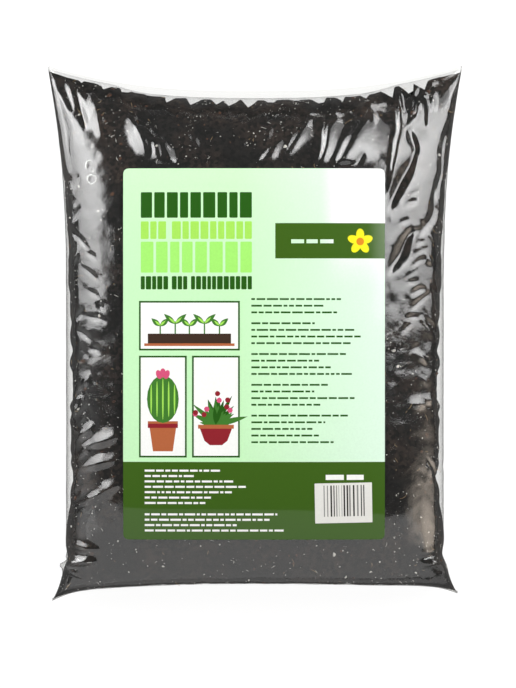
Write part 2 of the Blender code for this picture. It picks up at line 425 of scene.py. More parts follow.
def film_points():
    """The film's grid, with its creases and its wavy welds."""
    points, normals, front, _, v = skin_grid(FILM_COLUMNS, FILM_ROWS)
    out = points + normals * film_relief(points, front, v)[..., None]
    out[..., 2] += weld_ripple(points, v)
    half_weld = np.where(front > 0.5, 0.1, -0.1) * MM * smoothstep(0.99, 1, np.abs(v))
    out[..., 2] = np.maximum(out[..., 2] + half_weld, 0.0)
    return out


# Materials


def linear(code):
    """sRGB hex to a linear colour with full alpha."""
    parts = [int(code[i : i + 2], 16) / 255 for i in (1, 3, 5)]
    parts = [p / 12.92 if p <= 0.04045 else ((p + 0.055) / 1.055) ** 2.4 for p in parts]
    return (*parts, 1.0)


def add(tree, kind, inputs=None, **settings):
    """Adds a node, sets it up and links or fills its inputs. A node as an input
    stands for its first output."""
    made = tree.nodes.new(kind)
    for name, value in settings.items():
        setattr(made, name, value)
    for key, value in (inputs or {}).items():
        if isinstance(value, bpy.types.Node):
            value = value.outputs[0]
        if isinstance(value, bpy.types.NodeSocket):
            tree.links.new(value, made.inputs[key])
        else:
            made.inputs[key].default_value = value
    return made


def set_stops(ramp, low, high):
    """Gives a colour ramp's two stops their positions and colours."""
    for stop, (position, code) in zip(ramp.color_ramp.elements, (low, high)):
        stop.position = position
        stop.color = linear(code)


def new_material(name):
    """Empty material, its node tree, and the place on the object in metres."""
    made = bpy.data.materials.new(name)
    made.use_nodes = True
    tree = made.node_tree
    tree.nodes.clear()
    return made, tree, add(tree, "ShaderNodeTexCoord").outputs["Object"]


def blend(tree, share, first, second, kind="MIX"):
    """Colour mixed from two by share, or one that dims the other by multiplying."""
    made = add(
        tree,
        "ShaderNodeMix",
        {0: share, 6: first, 7: second},
        data_type="RGBA",
        blend_type=kind,
    )
    return made.outputs[2]


def finish_material(tree, shader):
    add(tree, "ShaderNodeOutputMaterial", {"Surface": shader})


def clear_polyethylene_film(name, index, roughness):
    """Blown polyethylene film: see-through, with the mirror of both its faces, and a
    faint ripple that breaks up the edges of reflections. Where it is seen edge on,
    it greys. index is the one of which a single face mirrors as much as both do."""
    made, tree, place = new_material(name)
    ripple = add(
        tree, "ShaderNodeTexNoise", {"Vector": place, "Scale": 160.0, "Detail": 3.0}
    )
    bump = add(
        tree,
        "ShaderNodeBump",
        {"Height": ripple, "Strength": 0.35, "Distance": 0.4 * MM},
    )
    inner_side = add(tree, "ShaderNodeNewGeometry").outputs["Backfacing"]
    seen_index = add(
        tree,
        "ShaderNodeMapRange",
        {"Value": inner_side, "To Min": index, "To Max": 1 / index},
    )
    both_faces = add(tree, "ShaderNodeFresnel", {"IOR": seen_index, "Normal": bump})
    gloss = add(
        tree,
        "ShaderNodeBsdfGlossy",
        {"Color": linear("#ffffff"), "Roughness": roughness, "Normal": bump},
    )
    slant = add(tree, "ShaderNodeLayerWeight", {"Blend": 0.5})
    tint = add(tree, "ShaderNodeValToRGB", {"Fac": slant.outputs["Facing"]})
    set_stops(tint, (0.86, "#fdfdfc"), (1.0, "#a8a9a7"))
    through = add(tree, "ShaderNodeBsdfTransparent", {"Color": tint})
    shader = add(tree, "ShaderNodeMixShader", {0: both_faces, 1: through, 2: gloss})
    finish_material(tree, shader)
    return made


def moist_peat():
    """Moist milled peat: black-brown crumbs of 1 to 3 mm with redder patches about
    25 mm across, dull, with a little damp shine."""
    made, tree, place = new_material("moist_peat")
    patches = add(
        tree, "ShaderNodeTexNoise", {"Vector": place, "Scale": 38.0, "Detail": 4.0}
    )
    crumbs = add(
        tree,
        "ShaderNodeTexNoise",
        {"Vector": place, "Scale": 620.0, "Detail": 6.0, "Roughness": 0.72},
    )
    warm = add(tree, "ShaderNodeValToRGB", {"Fac": patches})
    set_stops(warm, (0.42, "#1a1816"), (0.66, "#3b3029"))
    grains = add(tree, "ShaderNodeTexVoronoi", {"Vector": place, "Scale": 560.0})
    tone = add(tree, "ShaderNodeSeparateXYZ", {"Vector": grains.outputs["Color"]})
    mixed = add(tree, "ShaderNodeMath", {0: tone, 1: crumbs}, operation="MULTIPLY")
    shade = add(tree, "ShaderNodeValToRGB", {"Fac": mixed})
    set_stops(shade, (0.05, "#4a4a4a"), (0.5, "#ffffff"))
    colour = blend(tree, 1.0, warm, shade, "MULTIPLY")
    bump = add(
        tree,
        "ShaderNodeBump",
        {"Height": crumbs, "Strength": 0.9, "Distance": 0.9 * MM},
    )
    shader = add(
        tree,
        "ShaderNodeBsdfPrincipled",
        {
            "Base Color": colour,
            "Roughness": 0.85,
            "Specular IOR Level": 0.35,
            "Normal": bump,
        },
    )
    finish_material(tree, shader)
    return made


def mottled(name, low, high, scale, roughness):
    """Matt natural matter whose colour wanders between two tones."""
    made, tree, place = new_material(name)
    wander = add(
        tree, "ShaderNodeTexNoise", {"Vector": place, "Scale": scale, "Detail": 4.0}
    )
    tone = add(tree, "ShaderNodeValToRGB", {"Fac": wander})
    set_stops(tone, (0.35, low), (0.65, high))
    bump = add(
        tree,
        "ShaderNodeBump",
        {"Height": wander, "Strength": 0.3, "Distance": 0.2 * MM},
    )
    shader = add(
        tree,
        "ShaderNodeBsdfPrincipled",
        {"Base Color": tone, "Roughness": roughness, "Normal": bump},
    )
    finish_material(tree, shader)
    return made


def laminated_print(name, colour, fade=None):
    """Offset print under a gloss laminate: flat ink with a faint paper mottle, and a
    clear smooth coat. fade is the colour that the ink passes to at the right; such
    an ink also passes to white in the label's upper right corner, which is partly
    paler print and partly a painted reflection of the right softbox in the laminate."""
    made, tree, place = new_material(name)
    mottle = add(
        tree, "ShaderNodeTexNoise", {"Vector": place, "Scale": 900.0, "Detail": 2.0}
    )
    tone = add(tree, "ShaderNodeValToRGB", {"Fac": mottle})
    set_stops(tone, (0.0, "#f2f2f2"), (1.0, "#ffffff"))
    ink = linear(colour)
    if fade:
        parts = add(tree, "ShaderNodeSeparateXYZ", {"Vector": place})
        along, across, upward = [
            add(
                tree,
                "ShaderNodeMapRange",
                {
                    "Value": parts.outputs[axis],
                    "From Min": middle + low * MM,
                    "From Max": middle + high * MM,
                },
                interpolation_type=curve,
            )
            for axis, middle, low, high, curve in (
                ("X", LABEL_PLACE.x, -10, LABEL_HALF[0], "LINEAR"),
                ("X", LABEL_PLACE.x, 36, 52, "SMOOTHSTEP"),
                ("Y", LABEL_PLACE.y, 34, 80, "SMOOTHSTEP"),
            )
        ]
        # Upper right corner turns white: partly paler print, partly a painted
        # reflection of the right softbox
        corner = add(
            tree, "ShaderNodeMath", {0: across, 1: upward}, operation="MULTIPLY"
        )
        ink = blend(tree, along, ink, linear(fade))
        ink = blend(tree, corner, ink, linear("#ffffff"))
    shader = add(
        tree,
        "ShaderNodeBsdfPrincipled",
        {
            "Base Color": blend(tree, 1.0, ink, tone, "MULTIPLY"),
            "Roughness": 0.5,
            "Specular IOR Level": 0.2,
            "Coat Weight": 1.0,
            "Coat Roughness": 0.05,
            "Coat IOR": 1.5,
        },
    )
    finish_material(tree, shader)
    return made


def white_floor():
    """Pale studio floor: white to the camera, also through the film, and it still
    takes the object's shadow. In a mirror it is white too, but dim near the bag, and
    past the bag's head its matt part is black there, so that the film's steep top
    edge stays dark."""
    white = 0.92
    dim = 0.03
    made, tree, place = new_material("white_floor")
    path = add(tree, "ShaderNodeLightPath")
    away = add(tree, "ShaderNodeVectorMath", {0: place}, operation="LENGTH")
    level = add(
        tree,
        "ShaderNodeMapRange",
        {
            "Value": away.outputs["Value"],
            "From Min": 0.4,
            "From Max": 4.5,
            "To Min": dim,
            "To Max": white,
        },
        interpolation_type="SMOOTHSTEP",
    )
    mirrored = path.outputs["Is Glossy Ray"]
    level = add(tree, "ShaderNodeMath", {0: mirrored, 1: level}, operation="MULTIPLY")
    for kind in ("Is Camera Ray", "Is Transmission Ray"):
        plain = add(
            tree,
            "ShaderNodeMath",
            {0: path.outputs[kind], 1: white},
            operation="MULTIPLY",
        )
        level = add(tree, "ShaderNodeMath", {0: level, 1: plain}, operation="MAXIMUM")
    glow = add(
        tree, "ShaderNodeEmission", {"Color": linear("#ffffff"), "Strength": level}
    )
    past_head = add(
        tree,
        "ShaderNodeMapRange",
        {
            "Value": add(tree, "ShaderNodeSeparateXYZ", {"Vector": place}).outputs["Y"],
            "From Min": 0.08,
            "From Max": 0.22,
        },
        interpolation_type="SMOOTHSTEP",
    )
    shaded = add(
        tree, "ShaderNodeMath", {0: mirrored, 1: past_head}, operation="MULTIPLY"
    )
    colour = blend(tree, shaded, linear("#6f6f6f"), linear("#000000"))
    matt = add(tree, "ShaderNodeBsdfDiffuse", {"Color": colour})
    finish_material(tree, add(tree, "ShaderNodeAddShader", {0: glow, 1: matt}))
    return made


# Pieces


def make_film():
    """The sleeve; along its two welds the films are fused, and mirror less."""
    points = film_points()
    film = loops_to_mesh("film_sleeve", points)
    film.data.materials.append(
        clear_polyethylene_film("clear_polyethylene_film", 2.1, 0.12)
    )
    film.data.materials.append(clear_polyethylene_film("fused_film_weld", 1.6, 0.3))
    fused = np.zeros((len(points) - 1, points.shape[1]), np.int32)
    fused[:WELD_RINGS] = 1
    fused[-WELD_RINGS:] = 1
    film.data.polygons.foreach_set("material_index", fused.ravel())
    edit = bmesh.new()
    edit.from_mesh(film.data)
    surface = BVHTree.FromBMesh(edit)
    edit.free()
    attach(film, "root")
    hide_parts("film_bag")
    return surface


def soil_reach(q):
    """Share of the bag's length that each column of compost fills: the pleats of the
    top weld notch its edge."""
    x = BODY_OFFSET / MM + (WAIST_HALF + TOP_FLARE) / MM * q
    notch = 0.8 * value_noise(np.stack([x, 0 * x, 0 * x], axis=-1), 3.5, 15)
    for at, half, length in pleats():
        share = np.clip(1 - np.abs(x - at) / (1.3 * half), 0, 1)
        notch = np.maximum(notch, 0.11 * length * half * smoothstep(0, 1, share))
    return 0.996 - notch * MM / TOP_REACH


def make_compost(material):
    """Compost pressed against the film: its skin has crumbs and small hollows."""
    reach = soil_reach(ring_places(FILL_COLUMNS)[1])
    points, normals, front, q, v = skin_grid(FILL_COLUMNS, FILL_ROWS, reach, 0)
    relief = film_relief(points, front, v)
    crumbs = value_noise(points, 2.4 * MM, 1) + 0.6 * value_noise(points, 1.2 * MM, 2)
    lumps_seen = value_noise(points, 6 * MM, 4)
    hollows = smoothstep(0.55, 0.8, value_noise(points, 9 * MM, 3))
    # In mm inside the film; near the bottom weld the skin lies closer to it
    inset = 0.3 + 0.7 * crumbs + 0.9 * lumps_seen + 1.1 * hollows
    inset = inset * mix(1.0, 0.25, smoothstep(-0.8, -0.92, v))
    other = bag_surface(1 - front, q, v, 0)
    room = np.abs(points[..., 2] - other[..., 2]) / 2
    inset = np.minimum(inset * MM + np.maximum(-relief, 0), 0.6 * room)
    # Along the side folds the film stands clear of the compost by up to some 3 mm
    ragged = 0.5 + 1.0 * value_noise(points[..., 1:2] * (1, 1, 0) + 0.31, 8 * MM, 12)
    side = smoothstep(0.88, 1.0, np.abs(q)) * smoothstep(0.8, 0.55, np.abs(v)) * ragged
    side = side * mix(0.4, 1.0, smoothstep(45, -15, points[..., 1] / MM))
    moved = points - normals * inset[..., None]
    side_gap = 3.4 * MM
    moved[..., 0] -= np.sign(q) * side * side_gap
    moved[..., 2] = np.maximum(moved[..., 2], 0.15 * MM)
    middle = (points + other) / 2
    moved = np.concatenate([middle[:1], moved, middle[-1:]])
    fill = loops_to_mesh("compost_fill", moved)
    fill.data.materials.append(material)
    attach(fill, "root")
    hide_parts("compost")
    return moved, loop_normals(moved)


def surface_samples(points, normals, count, seed, patchy=0.0):
    """Random places and normals over rows of closed loops; patchy draws them from an
    even spread towards clusters about 10 mm across."""
    corner = points[:-1], points[1:]
    a = corner[0] - np.roll(corner[0], -1, axis=1)
    b = corner[0] - corner[1]
    area = np.linalg.norm(np.cross(a, b), axis=-1)
    area = area * mix(1.0, 4 * value_noise(corner[0], 10 * MM, 21) ** 3, patchy)
    area = area.ravel()
    pick = seed.choice(len(area), count, p=area / area.sum())
    row, column = np.divmod(pick, points.shape[1])
    nxt = (column + 1) % points.shape[1]
    s, t = seed.random((2, count, 1))
    low = mix(points[row, column], points[row, nxt], s)
    high = mix(points[row + 1, column], points[row + 1, nxt], s)
    return mix(low, high, t), normals[row, column]


def level_axes(normals, guide):
    """Two directions along the surface at each place, square to each other."""
    side = np.cross(normals, np.array(guide))
    side /= np.linalg.norm(side, axis=1, keepdims=True)
    return side, np.cross(normals, side)


def loose_pieces(name, points, faces, count, material, smooth):
    """One object of count pieces with the same faces, kept above the floor."""
    each = len(points) // count
    all_faces = faces[None] + each * np.arange(count)[:, None, None]
    all_faces = all_faces.reshape(-1, faces.shape[1])
    points[:, 2] = np.maximum(points[:, 2], 0.1 * MM)
    made = mesh_object(name, points, all_faces, smooth=smooth)
    made.data.materials.append(material)
    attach(made, "root")


def icosahedron():
    """Twelve corners at a distance of 1 from the middle, and the outward faces."""
    phi = (1 + 5**0.5) / 2
    corners = []
    for a in (-1, 1):
        for b in (-phi, phi):
            corners += [(0, a, b), (a, b, 0), (b, 0, a)]
    corners = np.array(corners) / math.hypot(1, phi)
    near = np.linalg.norm(corners[:, None] - corners[None], axis=-1) < 1.1
    faces = []
    for i, j, k in combinations(range(12), 3):
        if near[i, j] and near[j, k] and near[i, k]:
            outward = np.linalg.det(corners[[i, j, k]]) > 0
            faces.append((i, j, k) if outward else (i, k, j))
    return corners, np.array(faces)


def lumps(name, places, normals, sizes, seed, material, squash):
    """Many small angular grains in one mesh, half sunk at places."""
    corners, faces = icosahedron()
    count = len(places)
    knobs = 0.28 * seed.standard_normal((count, 12, 1)).clip(-1, 1)
    shape = corners[None] * (1 + knobs)
    stretch = seed.uniform(0.6, 1.25, (count, 1, 3))
    stretch[..., 2] *= squash
    shape = shape * stretch * sizes[:, None, None] / 2
    turn = seed.uniform(0, 2 * np.pi, count)
    side, other = level_axes(normals, (0.31, 0.52, 0.8))
    first = side * np.cos(turn)[:, None] + other * np.sin(turn)[:, None]
    axes = (first, np.cross(normals, first), normals)
    world = sum(shape[..., k : k + 1] * axis[:, None] for k, axis in enumerate(axes))
    points = (places[:, None] + world).reshape(-1, 3)
    loose_pieces(name, points, faces, count, material, False)


def fibres(name, places, normals, lengths, seed, material, radius):
    """Many short bent roots in one mesh, lying on the compost."""
    count, steps, sides = len(places), 7, 4
    side, other = level_axes(normals, (0.23, 0.61, 0.75))
    heading = seed.uniform(0, 2 * np.pi, count)
    bend = seed.uniform(-1.6, 1.6, count)
    points = []
    at = np.zeros((count, 2))
    for k in range(steps):
        angle = heading + bend * k / (steps - 1)
        centre = places + side * at[:, :1] + other * at[:, 1:]
        left = other * np.cos(angle)[:, None] - side * np.sin(angle)[:, None]
        thin = radius * MM * (1 - 0.6 * abs(2 * k / (steps - 1) - 1))
        for m in range(sides):
            around = 2 * np.pi * m / sides
            out = left * math.cos(around) + normals * math.sin(around)
            points.append(centre + thin * out)
        step = (lengths / (steps - 1))[:, None]
        at = at + step * np.stack([np.cos(angle), np.sin(angle)], axis=1)
    points = np.stack(points, axis=1).reshape(-1, 3)
    faces = []
    for k in range(0, (steps - 1) * sides, sides):
        for m in range(sides):
            n = (m + 1) % sides
            faces.append((k + m, k + n, k + sides + n, k + sides + m))
    loose_pieces(name, points, np.array(faces), count, material, True)


def make_specks(points, normals):
    """Perlite, roots and bark that show in the compost's skin."""
    seed = np.random.default_rng(5)
    white = mottled("expanded_perlite", "#c9c6be", "#f4f2ec", 900.0, 0.7)
    tan = mottled("dry_root_fibre", "#8a6a45", "#cdb48a", 700.0, 0.75)
    brown = mottled("bark_chip", "#33221a", "#5c3b26", 500.0, 0.8)
    # How many and how patchy; the least size in mm, how much more and its power; and
    # the flatness of a lump or the radius of a fibre in mm
    for name, kind, count, patchy, least, more, power, material, thin in (
        ("perlite_dust", lumps, 3400, 0.7, 0.3, 0.7, 3, white, 0.7),
        ("perlite_grains", lumps, 120, 0.5, 1.0, 1.7, 2, white, 0.7),
        ("bark_chips", lumps, 520, 0.0, 0.8, 2.2, 2, brown, 0.4),
        ("root_fibres", fibres, 380, 0.0, 1.5, 5.0, 2, tan, 0.14),
        ("perlite_wisps", fibres, 900, 0.8, 0.8, 2.6, 2, white, 0.16),
    ):
        at, out = surface_samples(points, normals, count, seed, patchy)
        sizes = least * MM + more * MM * seed.random(count) ** power
        kind(name, at, out, sizes, seed, material, thin)


# Label art, in millimetres from the label's centre: plain fields and simple shapes


def box(x0, y0, x1, y1):
    return [(x0, y0), (x1, y0), (x1, y1), (x0, y1)]


def rounded(x0, y0, x1, y1, r, steps=6):
    """Rectangle with round corners."""
    shape = []
    for cx, cy, start in (
        (x1 - r, y1 - r, 0),
        (x0 + r, y1 - r, 90),
        (x0 + r, y0 + r, 180),
        (x1 - r, y0 + r, 270),
    ):
        for k in range(steps + 1):
            angle = math.radians(start + 90 * k / steps)
            shape.append((cx + r * math.cos(angle), cy + r * math.sin(angle)))
    return shape


def disc(cx, cy, rx, ry=None, turn=0.0, steps=20):
    """Round or oval field."""
    ry = ry or rx
    c, s = math.cos(turn), math.sin(turn)
    shape = []
    for k in range(steps):
        angle = 2 * math.pi * k / steps
        a, b = rx * math.cos(angle), ry * math.sin(angle)
        shape.append((cx + a * c - b * s, cy + a * s + b * c))
    return shape


def leaf(x, y, length, width, angle, steps=7):
    """Pointed leaf from its foot at x, y."""
    c, s = math.cos(angle), math.sin(angle)
    edge = []
    for k in range(steps + 1):
        t = k / steps
        edge.append((length * t, width / 2 * math.sin(math.pi * t**0.85)))
    edge += [(a, -b) for a, b in edge[-2:0:-1]]
    return [(x + a * c - b * s, y + a * s + b * c) for a, b in edge]


def pot(cx, foot, width, height):
    """Side view of a flower pot with a rim."""
    half = width / 2
    rim = height * 0.22
    return [
        [
            (cx - half * 0.66, foot),
            (cx + half * 0.66, foot),
            (cx + half * 0.88, foot + height - rim),
            (cx - half * 0.88, foot + height - rim),
        ],
        box(cx - half, foot + height - rim, cx + half, foot + height),
    ]


def word_bars(fields, ink, x0, y, right, height, seed, lengths=(2.0, 7.5), gap=0.9):
    """One line of print: bars as long as words, with gaps."""
    x = x0
    while x < right - 1:
        end = min(x + seed.uniform(*lengths), right)
        fields.append((ink, box(x, y, end, y + height)))
        x = end + gap


def block_words(ink, left, right, low, high, words, seed):
    """One heading row of tall narrow blocks, grouped like words; words says how many
    blocks each word has."""
    widths = seed.uniform(0.8, 1.25, sum(words))
    gap = 0.22
    total = widths.sum() + gap * (len(widths) - 1) + 0.6 * (len(words) - 1)
    unit = (right - left) / total
    fields, x, k = [], left, 0
    for count in words:
        for width in widths[k : k + count]:
            fields.append((ink, rounded(x, low, x + width * unit, high, 0.5, 2)))
            x += (width + gap) * unit
        x += 0.6 * unit
        k += count
    return fields


def label_fields():
    """Areas of ink from the lowest to the topmost."""
    seed = np.random.default_rng(21)
    wide, tall = LABEL_HALF
    band = -61
    fields = [
        ("mint", rounded(-wide, -tall, wide, tall, LABEL_CORNER)),
        ("forest", rounded(-wide, -tall, wide, band, LABEL_CORNER)),
        ("forest", box(-wide, band - 11, wide, band)),
        ("forest", box(12, 54, wide, 74)),
    ]
    for ink, low, high, words in (
        ("deep_green", 77.0, 91.5, (9,)),
        ("lime", 65.0, 75.0, (3, 9)),
        ("light_lime", 46.0, 63.5, (8,)),
        ("deep_green", 36.5, 44.0, (5, 3, 11)),
    ):
        fields += block_words(ink, -64, -1.2, low, high, words, seed)
    fields += picture_wide() + picture_tall() + picture_small()
    # Paragraphs on the right, then the lines on the dark band
    line_y = 30.5
    for k in range(24):
        if k in (3, 8, 13, 18):
            line_y -= 2.4
            continue
        right = seed.uniform(30, 62)
        word_bars(fields, "deep_green", -1.5, line_y, right, 1.05, seed, (2.0, 6.5))
        line_y -= 3.75
    line_y = -66.5
    for k in range(11):
        if k == 7:
            line_y -= 3.4
        right = seed.uniform(-36, -4) if k < 7 else seed.uniform(-14, 21)
        word_bars(fields, "white_ink", -61.8, line_y, right, 1.15, seed, (1.5, 6.5))
        line_y -= 3.05
    word_bars(fields, "white_ink", 40.5, -71.2, 62.0, 2.9, seed, (9.0, 11.0), 1.6)
    fields += small_flower(60.0, 63.6, 6.4)
    word_bars(fields, "mint", 21.0, 62.6, 47.0, 2.2, seed, (5.0, 9.0), 1.4)
    return fields


def framed(x0, y0, x1, y1):
    """White picture panel with a thin dark frame."""
    return [
        ("deep_green", box(x0, y0, x1, y1)),
        ("white_ink", box(x0 + 1.0, y0 + 1.0, x1 - 1.0, y1 - 1.0)),
    ]


def small_flower(cx, cy, size):
    """Plain five-petalled flower."""
    fields = []
    for k in range(5):
        angle = math.radians(90 + 72 * k)
        x = cx + 0.6 * size * math.cos(angle)
        y = cy + 0.6 * size * math.sin(angle)
        fields.append(("yellow_ink", disc(x, y, 0.55 * size, 0.36 * size, angle)))
    fields.append(("orange_ink", disc(cx, cy, 0.34 * size)))
    return fields


def picture_wide():
    """Row of five seedlings in a tray of soil."""
    fields = framed(-65, 2, -8, 30)
    fields.append(("earth_ink", box(-60, 6, -13, 11.5)))
    fields.append(("terracotta_ink", box(-62, 4.5, -11, 6)))
    for k, x in enumerate((-53, -44.5, -36.5, -28, -19.5)):
        tall = 9 + 2.5 * (k % 2)
        fields.append(("leaf_ink", box(x - 0.4, 11.5, x + 0.4, 11.5 + tall * 0.6)))
        for side in (-1, 1):
            angle = math.radians(90 - side * 48)
            for ink, foot, length, width in (
                ("leaf_ink", 11.2, 0.75, 2.9),
                ("lime", 11.6, 0.45, 1.2),
            ):
                shape = leaf(x, foot + tall * 0.5, tall * length, width, angle)
                fields.append((ink, shape))
    return fields


def picture_tall():
    """Round cactus with a bloom in a terracotta pot."""
    fields = framed(-65, -58.5, -38, -1)
    for shape in pot(-51.5, -55, 17, 17):
        fields.append(("terracotta_ink", shape))
    fields.append(("red_ink", box(-60, -41.8, -43, -39.4)))
    fields.append(("leaf_ink", disc(-51.5, -25.5, 9.0, 13.5)))
    for k in range(-2, 3):
        stripe = disc(-51.5 + 3.3 * k, -25.5, 0.45, 11.8 - 1.6 * abs(k))
        fields.append(("lime", stripe))
    fields += [
        ("pink_ink", disc(-51.5 + 2.2 * k, -11.6 + 0.9 * (k == 0), 1.6, 2.6, -0.35 * k))
        for k in (-1, 0, 1)
    ]
    return fields


def picture_small():
    """Bushy plant with pink flowers in a wide bowl."""
    fields = framed(-35, -58.5, -8, -1)
    seed = np.random.default_rng(8)
    for k in range(26):
        angle = math.radians(90 + seed.uniform(-84, 84))
        far = seed.uniform(8, 19)
        shape = leaf(-21.5, -40, far, seed.uniform(2.2, 3.6), angle)
        fields.append(("leaf_ink" if k % 3 else "deep_green", shape))
    for k in range(9):
        angle = math.radians(90 + seed.uniform(-70, 70))
        far = seed.uniform(6, 17)
        x, y = -21.5 + far * math.cos(angle), -39 + far * math.sin(angle)
        fields.append(("pink_ink" if k % 2 else "red_ink", disc(x, y, 1.5, steps=9)))
    left = [(-31.0, -41), (-28, -49), (-25, -51.5)]
    right = [(-18, -51.5), (-15, -49), (-12.0, -41)]
    fields.append(("red_ink", left + right))
    fields.append(("terracotta_ink", box(-31.6, -42.2, -11.4, -40)))
    return fields


def sticker_fields():
    """White sticker with generic bars."""
    wide, tall = STICKER_HALF
    fields = [("sticker_white", rounded(-wide, -tall, wide, tall, 0.3, 3))]
    seed = np.random.default_rng(4)
    x = -11.2
    while x < 11.4:
        width = seed.choice([0.28, 0.4, 0.62, 0.9])
        ink = seed.choice(["bar_black", "bar_grey"])
        fields.append((str(ink), box(x, -7.6, x + width, 10.0)))
        x += width + seed.choice([0.5, 0.85, 1.3])
    return fields


def inside(shape, x, y):
    """Which of the places lie inside a closed outline."""
    found = np.zeros(len(x), bool)
    for (x0, y0), (x1, y1) in zip(shape, shape[1:] + shape[:1]):
        if y0 == y1:
            continue
        crosses = (y0 > y) != (y1 > y)
        found ^= crosses & (x < (x1 - x0) * (y - y0) / (y1 - y0) + x0)
    return found


def fine_outline(shape, longest):
    """Outline with its long sides cut into even steps."""
    fine = []
    for (x0, y0), (x1, y1) in zip(shape, shape[1:] + shape[:1]):
        steps = max(1, math.ceil(math.hypot(x1 - x0, y1 - y0) / longest))
        fine += [(mix(x0, x1, k / steps), mix(y0, y1, k / steps)) for k in range(steps)]
    return fine


def cut_fields(fields, pitch):
    """Flat triangles whose edges follow all outlines: their points, the faces, and
    the topmost field that each face lies in."""
    verts, edges, outline = [], [], fields[0][1]
    for _, shape in fields:
        first = len(verts)
        fine = fine_outline(shape, pitch)
        verts += [Vector(p) for p in fine]
        edges += [(first + k, first + (k + 1) % len(fine)) for k in range(len(fine))]
    xs, ys = zip(*outline)
    gx = np.arange(min(xs) + pitch / 2, max(xs), pitch)
    gy = np.arange(min(ys) + pitch / 2, max(ys), pitch)
    extra = np.array([(x, y) for x in gx for y in gy])
    extra = extra[inside(outline, extra[:, 0], extra[:, 1])]
    verts += [Vector(p) for p in extra]
    made = geometry.delaunay_2d_cdt(verts, edges, [], 0, 1e-5, False)
    flat = np.array([tuple(p) for p in made[0]])
    faces = np.array(made[2])
    middle = flat[faces].mean(axis=1)
    chosen = np.full(len(faces), -1)
    for k, (_, shape) in enumerate(fields):
        chosen[inside(shape, middle[:, 0], middle[:, 1])] = k
    keep = chosen >= 0
    faces, chosen = faces[keep], chosen[keep]
    a, b, c = flat[faces[:, 0]], flat[faces[:, 1]], flat[faces[:, 2]]
    signed = (b - a)[:, 0] * (c - a)[:, 1] - (b - a)[:, 1] * (c - a)[:, 0]
    faces[signed < 0] = faces[signed < 0][:, ::-1]
    used = np.unique(faces)
    lookup = np.zeros(len(flat), int)
    lookup[used] = np.arange(len(used))
    return flat[used], lookup[faces], chosen


def open_edges(faces):
    """Edges that only one face has, in that face's direction."""
    found = {}
    for f in faces:
        for i in range(3):
            pair = (f[i], f[(i + 1) % 3])
            found.setdefault((min(pair), max(pair)), []).append(pair)
    return [pairs[0] for pairs in found.values() if len(pairs) == 1]


def printed_sheet(name, fields, turn, centre, bag, lift, thickness, inks):
    """Sheet laid over the bag's front, cut into areas of ink, with a thin edge."""
    flat, faces, chosen = cut_fields(fields, 4.0)
    c, s = math.cos(turn), math.sin(turn)
    plan = np.stack(
        [
            centre[0] + flat[:, 0] * c - flat[:, 1] * s,
            centre[1] + flat[:, 0] * s + flat[:, 1] * c,
        ],
        axis=1,
    )
    tree, normals_at = bag
    points, normals = [], []
    for x, y in plan * MM:
        hit, _, index, _ = tree.ray_cast(Vector((x, y, 0.2)), Vector((0, 0, -1)))
        normal = normals_at(index, hit)
        points.append(hit + normal * lift)
        normals.append(normal)
    below = {}
    skirt = []
    for i, j in open_edges(faces):
        for k in (i, j):
            if k not in below:
                below[k] = len(points)
                points.append(points[k] - normals[k] * thickness)
                normals.append(normals[k])
        skirt.append((i, below[i], below[j]))
        skirt.append((i, below[j], j))
    all_faces = np.concatenate([faces, np.array(skirt)])
    sheet = mesh_object(name, np.array([tuple(p) for p in points]), all_faces)
    names = list(dict.fromkeys(ink for ink, _ in fields))
    for ink in names:
        sheet.data.materials.append(inks[ink])
    slots = [names.index(fields[k][0]) for k in chosen] + [0] * len(skirt)
    sheet.data.polygons.foreach_set("material_index", slots)
    sheet.data.normals_split_custom_set_from_vertices(
        [tuple(n.normalized()) for n in normals]
    )
    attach(sheet, "root")
    return sheet


def smooth_front():
    """Ray target for the sheets: the smooth front, with its exact normals."""
    columns = 150
    points, normals = [
        grid[:, : columns + 1] for grid in skin_grid((columns, 20), 200, 1.0, 0)[:2]
    ]
    rows, count = points.shape[:2]
    index = np.arange(rows * count).reshape(rows, count)
    quads = np.stack(
        [index[:-1, :-1], index[1:, :-1], index[1:, 1:], index[:-1, 1:]], axis=-1
    ).reshape(-1, 4)
    flat_points = points.reshape(-1, 3)
    flat_normals = normals.reshape(-1, 3)
    tree = BVHTree.FromPolygons(flat_points.tolist(), quads.tolist())

    def normal_at(face, place):
        corners = quads[face]
        near = flat_points[corners] - np.array(place)
        weight = 1 / (np.linalg.norm(near, axis=1) + 1e-6)
        total = (flat_normals[corners] * weight[:, None]).sum(axis=0)
        return Vector(total).normalized()

    return tree, normal_at


